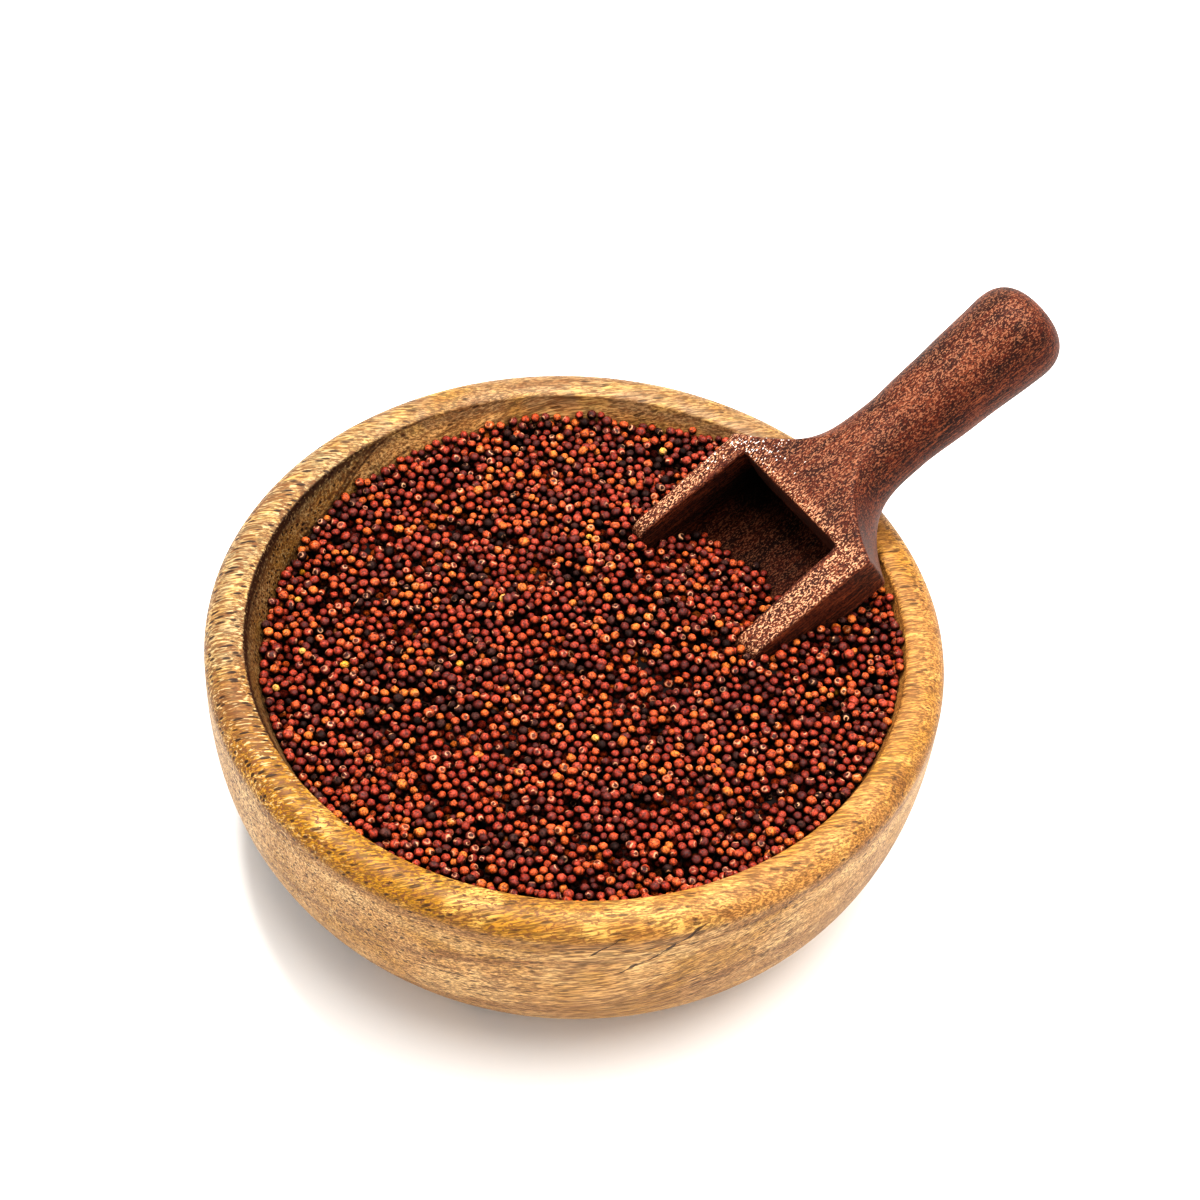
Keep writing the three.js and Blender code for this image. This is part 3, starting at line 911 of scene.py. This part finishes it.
def pairs_that_touch(places, reach):
    """Every pair of grains closer than reach, found through a grid of cells that size."""
    cells = np.floor((places - places.min(0)) / reach).astype(int) + 1
    size = cells.max(0) + 2
    keys = (cells[:, 0] * size[1] + cells[:, 1]) * size[2] + cells[:, 2]
    order = np.argsort(keys, kind="stable")
    ranked = keys[order]
    first_list, second_list = [], []
    for dx, dy, dz in product((-1, 0, 1), repeat=3):
        near = keys + (dx * size[1] + dy) * size[2] + dz
        start = np.searchsorted(ranked, near, "left")
        stop = np.searchsorted(ranked, near, "right")
        for step in range(int((stop - start).max())):
            has = np.nonzero(start + step < stop)[0]
            other = order[start[has] + step]
            keep = has < other
            first_list.append(has[keep])
            second_list.append(other[keep])
    return np.concatenate(first_list), np.concatenate(second_list)


def push_apart(places, radii):
    """Moves overlapping grains away from each other by half of their overlap each."""
    one, two = pairs_that_touch(places, grain_most)
    line = places[two] - places[one]
    distance = np.linalg.norm(line, axis=1)
    lapped = radii[one] + radii[two] - distance
    touch = (lapped > 0) & (distance > 1e-7)
    one, two = one[touch], two[touch]
    move = line[touch] / distance[touch, None] * (lapped[touch] * 0.5)[:, None]
    shift = np.zeros_like(places)
    hits = np.ones(len(places))
    np.add.at(shift, one, -move)
    np.add.at(shift, two, move)
    np.add.at(hits, one, 0.25)
    np.add.at(hits, two, 0.25)
    places += shift / np.minimum(hits, 1.75)[:, None]


def keep_in_bowl(places, radii):
    """Holds grains inside the hollow's wall and on top of the bed."""
    out = np.hypot(places[:, 0], places[:, 1])
    room = wall_radius(places[:, 2]) - radii
    beyond = out > room
    places[beyond, :2] *= (room[beyond] / out[beyond])[:, None]
    floor = np.minimum(grain_top(places[:, 0], places[:, 1]) - layer_depth, places[:, 2] + 1)
    places[:, 2] = np.maximum(places[:, 2], floor + radii * 0.6)


def keep_off_scoop(places, radii, near):
    """Holds the grains that are near the scoop outside its wood."""
    for i in np.nonzero(near)[0]:
        spot = Vector(places[i])
        hit, normal, _, distance = scoop_shape.find_nearest(spot, scoop_reach)
        if hit is None:
            continue
        away = spot - hit
        if away.dot(normal) < 0:
            places[i] = hit + normal * radii[i]
        elif distance < radii[i]:
            places[i] = hit + away.normalized() * radii[i]


def poured_grains():
    """Places and radii of the loose grains, settled."""
    angle = draw.uniform(0, 2 * math.pi, grain_count)
    out = crease_radius * np.sqrt(draw.uniform(0, 1, grain_count))
    places = np.column_stack([out * np.cos(angle), out * np.sin(angle), np.zeros(grain_count)])
    radii = np.clip(draw.normal(grain_mean, grain_spread, grain_count), grain_least, grain_most) / 2
    top = grain_top(places[:, 0], places[:, 1])
    places[:, 2] = top - draw.uniform(0.3, 1, grain_count) * layer_depth
    local = in_scoop_axes(places)
    along, across = local[:, 0], np.abs(local[:, 1])
    beside = (across < beside_half) & (along > beside_front) & (along < beside_back)
    covered = np.zeros(grain_count, bool)
    for i in np.nonzero(beside)[0]:
        spot = Vector(places[i])
        hit, normal, _, distance = scoop_shape.find_nearest(spot)
        above, *_ = scoop_shape.ray_cast(spot, Vector((0, 0, 1)))
        covered[i] = above is not None or (spot - hit).dot(normal) < 0
    in_back = (along > bare_from) & (along < 0) & (across < hollow_half)
    keep = ~(covered | in_back)
    places, radii, beside = places[keep], radii[keep], beside[keep]
    for turn in range(settle_rounds):
        places[:, 2] -= first_sink * (1 - turn / settle_rounds)
        push_apart(places, radii)
        keep_in_bowl(places, radii)
        if turn % 2:
            keep_off_scoop(places, radii, beside)
    return places, radii


def seed_shape(name, stretch, lumps, pit):
    """One seed, a unit ball pressed out of round with a pit at its top, of 48 faces."""
    points, faces = [], []
    last = len(seed_rings) - 1
    for ring, down in enumerate(seed_rings):
        for side in range(1 if ring in (0, last) else seed_sides):
            angle = 2 * math.pi * (side + 0.5 * (ring % 2)) / seed_sides
            out = math.sin(down)
            way = Vector((out * math.cos(angle), out * math.sin(angle), math.cos(down)))
            swell = 1 + lumps * noise.noise(way * 1.6 + Vector((3.7 * len(name), 0, 0)))
            dent = pit * math.exp(-(down / 0.42) ** 2)
            pressed = Vector((way.x * stretch[0], way.y * stretch[1], way.z * stretch[2]))
            points.append(pressed * (swell - dent))
    for side in range(seed_sides):
        beside = (side + 1) % seed_sides
        faces.append((0, 1 + side, 1 + beside))
        for ring in range(1, last - 1):
            near, far = 1 + (ring - 1) * seed_sides, 1 + ring * seed_sides
            faces.append((near + side, far + side, far + beside, near + beside))
        rim = 1 + (last - 2) * seed_sides
        faces.append((len(points) - 1, rim + beside, rim + side))
    piece = new_piece(name, points, faces)
    face_out(piece)
    ways = read_points(piece)
    piece.data.attributes.new("seed_place", "FLOAT_VECTOR", "POINT").data.foreach_set(
        "vector", ways.astype(np.float32).ravel())
    return piece


def scatter_tree():
    """Sets a seed on every point, with the point's own size, turn and choice of shape."""
    tree, given, result = new_tree("poured_seeds", {"Shapes": "Collection", "Skin": "Material"})
    shapes = add(tree, "GeometryNodeCollectionInfo", {
        "Collection": given["Shapes"], "Separate Children": True, "Reset Children": True,
    })

    def own(name, data_type, output):
        node = add(tree, "GeometryNodeInputNamedAttribute", {"Name": name}, data_type=data_type)
        return node.outputs[output]

    turn = add(tree, "FunctionNodeEulerToRotation", {0: own("turn", "FLOAT_VECTOR", 0)})
    placed = add(tree, "GeometryNodeInstanceOnPoints", {
        "Points": given["Geometry"], "Instance": shapes.outputs[0], "Pick Instance": True,
        "Instance Index": own("shape", "INT", 0), "Rotation": turn.outputs[0],
        "Scale": own("size", "FLOAT_VECTOR", 0),
    })
    real = add(tree, "GeometryNodeRealizeInstances", {"Geometry": placed.outputs[0]})
    painted = add(tree, "GeometryNodeSetMaterial", {
        "Geometry": real.outputs[0], "Material": given["Skin"],
    })
    tree.links.new(painted.outputs[0], result["Geometry"])
    return tree


def seed_skin(kind, low, high):
    """A dry seed coat: a tone for each seed, mottling, a ringed pit with a dark middle, and painted shade
    on its underside and where it lies sunk among other seeds.
    """
    material, tree, shader, _ = new_material("millet_" + kind)
    ring_tone = (0.740, 0.400, 0.220)
    pit_tone = (0.022, 0.006, 0.004)
    way = kept(tree, "seed_place", "Vector")
    ring_seen = kept(tree, "ring")
    sunk = kept(tree, "sunk")
    odd = calc_vector(tree, "SCALE", kept(tree, "turn", "Vector"), Scale=3.0)
    odd = calc_vector(tree, "ADD", way, odd)
    mottle = fuzz(tree, odd, 3.0, 0.72, scale=2.6)
    colour = blend(tree, kept(tree, "tone"), low, high)
    colour = darken(tree, colour, ramp(tree, mottle, 0.36, 0.64, 0.26, 1.42))
    to_pit = calc_vector(tree, "DISTANCE", calc_vector(tree, "NORMALIZE", way), (0, 0, 1))
    ragged = times(tree, calc(tree, "SUBTRACT", fuzz(tree, odd, 1.0, scale=1.5), 0.5), 0.75)
    to_pit = calc(tree, "ADD", to_pit, ragged)
    torn = ramp(tree, fuzz(tree, odd, 1.0, scale=1.1), 0.41, 0.57)
    ring = times(tree, ramp(tree, to_pit, 0.80, 0.62), ramp(tree, to_pit, 0.36, 0.52), torn, ring_seen)
    pit = times(tree, ramp(tree, to_pit, 0.50, 0.30), times(tree, ring_seen, 0.85))
    colour = coated(tree, colour, (ring, ring_tone), (pit, pit_tone))
    # Painted shade: each seed darker on its underside, and darker again by how deep it lies among the seeds
    # around it.
    colour = darken(tree, colour, ramp(tree, upward(tree), 0.0, 0.85, 0.04, 1.0))
    colour = darken(tree, colour, calc(tree, "SUBTRACT", 1.0, sunk))
    tree.links.new(colour, shader.inputs["Base Color"])
    tree.links.new(ramp(tree, mottle, 0.3, 0.7, 0.38, 0.22), shader.inputs["Roughness"])
    gloss = 0.16 if kind == "dark" else 0.38
    tree.links.new(ramp(tree, sunk, 0.0, 0.6, gloss, 0.02), shader.inputs["Specular IOR Level"])
    roughen(tree, shader, mottle, 0.9, 0.20 * mm)
    return material



places, radii = poured_grains()
count = len(places)
shapes = bpy.data.collections.new("seed_shapes")
bpy.context.scene.collection.children.link(shapes)
for name, stretch, lumps, pit in (
    ("seed_a_round", (1.0, 1.0, 0.96), 0.08, 0.10),
    ("seed_b_flat", (1.04, 1.0, 0.84), 0.10, 0.16),
    ("seed_c_angular", (0.98, 1.05, 0.93), 0.26, 0.12),
    ("seed_d_long", (0.93, 1.12, 0.92), 0.12, 0.14),
):
    shape = seed_shape(name, stretch, lumps, pit)
    bpy.context.scene.collection.objects.unlink(shape)
    shape.data.shade_smooth()
    shapes.objects.link(shape)

turns = draw.uniform(0, 2 * math.pi, (count, 3))
upright = draw.uniform(0, 1, count) < 0.5
turns[upright, 0] = draw.normal(0.3, 0.5, upright.sum())
turns[upright, 1] = draw.normal(0, 0.5, upright.sum())
choice = draw.choice(4, count, p=(0.42, 0.22, 0.2, 0.16))
tones = draw.uniform(0, 1, count)
rings_seen = np.where(draw.uniform(0, 1, count) < 0.60, draw.uniform(0.35, 1, count), 0)
# Painted shade: how far each seed lies below the highest seeds around it, which darkens its coat.
lift = places[:, 2] - grain_top(places[:, 0], places[:, 1])
patch = np.floor((places[:, :2] + bowl_radius) / patch_size).astype(int) + 1
highest = np.full(patch.max(0) + 2, -layer_depth)
np.maximum.at(highest, tuple(patch.T), lift)
around = sum(highest[tuple((patch + (i, j)).T)] for i in (-1, 0, 1) for j in (-1, 0, 1)) / 9
sunk = np.clip((around - lift - shade_from) / shade_over, 0, 0.95)
uneven = draw.uniform(0.94, 1.04, (count, 3))
sizes = radii[:, None] * uneven
shares = np.array([share for share, _ in kinds.values()])
kind_of = draw.choice(len(kinds), count, p=shares / shares.sum())
seeds_on_points = scatter_tree()
for number, (kind, (_, (low, high))) in enumerate(kinds.items()):
    own = kind_of == number
    grains = new_piece("millet_" + kind, places[own])
    for name, data_type, field, values in (
        ("turn", "FLOAT_VECTOR", "vector", turns[own]),
        ("size", "FLOAT_VECTOR", "vector", sizes[own]),
        ("shape", "INT", "value", choice[own]),
        ("tone", "FLOAT", "value", tones[own]),
        ("ring", "FLOAT", "value", rings_seen[own]),
        ("sunk", "FLOAT", "value", sunk[own]),
    ):
        store = grains.data.attributes.new(name, data_type, "POINT")
        store.data.foreach_set(field, values.astype(np.int32 if data_type == "INT" else np.float32).ravel())
    grow(grains, seeds_on_points, Shapes=shapes, Skin=seed_skin(kind, low, high))
    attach(grains, "root")
    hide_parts("millet")
for shape in list(shapes.objects):
    bpy.data.objects.remove(shape)
bpy.data.collections.remove(shapes)

# ----------------------------------------------
# The floor that the bowl stands on, a plain sheet of pale paper, with the soft light of a studio
# over it: one wide lamp and one small one that gives the grains their sparks. The camera looks
# down on the bowl from in front.
# ----------------------------------------------
floor_reach = 3.0
floor_corners = [(x * floor_reach, y * floor_reach, 0) for x, y in ((-1, -1), (1, -1), (1, 1), (-1, 1))]
floor_piece = new_piece("floor", floor_corners, [(0, 1, 2, 3)])
floor_paper, _, shader, _ = new_material("floor_paper")
shader.inputs["Base Color"].default_value = (0.90, 0.895, 0.885, 1)
shader.inputs["Roughness"].default_value = 0.9
floor_piece.data.materials.append(floor_paper)

lamp_aim = Vector((0, 0, 0.03))
warm_white = (1.0, 0.985, 0.96)
for name, place, width, power in (
    ("key", Vector((0.24, 0.10, 1.00)), 1.20, 11.6),
    ("spark", Vector((-0.20, 0.26, 0.90)), 0.12, 3.9),
):
    lamp = bpy.data.lights.new(name, "AREA")
    lamp.shape = "DISK"
    lamp.size = width
    lamp.energy = power
    lamp.color = warm_white
    light = bpy.data.objects.new(name, lamp)
    light.location = place
    light.rotation_euler = (lamp_aim - place).to_track_quat("-Z", "Y").to_euler()
    bpy.context.scene.collection.objects.link(light)
world = bpy.data.worlds.new("studio")
world.use_nodes = True
sky = world.node_tree.nodes["Background"].inputs
sky["Color"].default_value = (1, 1, 1, 1)
sky["Strength"].default_value = 0.76
bpy.context.scene.world = world
bpy.context.scene.view_settings.view_transform = "Standard"
bpy.context.scene.view_settings.look = "High Contrast"

lens = bpy.data.cameras.new("camera")
lens.sensor_width = 36
lens.lens = 85.63
lens.clip_start = 0.01
camera = bpy.data.objects.new("camera", lens)
camera_place = (0, -0.271209, 0.352475)
camera_right = (0.997443, 0.048501, 0.052497)
camera_up = (-0.071087, 0.749338, 0.658360)
camera_back = (-0.007407, -0.660409, 0.750870)
camera_turn = Matrix((camera_right, camera_up, camera_back)).transposed().to_4x4()
camera.matrix_world = Matrix.Translation(camera_place) @ camera_turn
bpy.context.scene.collection.objects.link(camera)
bpy.context.scene.camera = camera
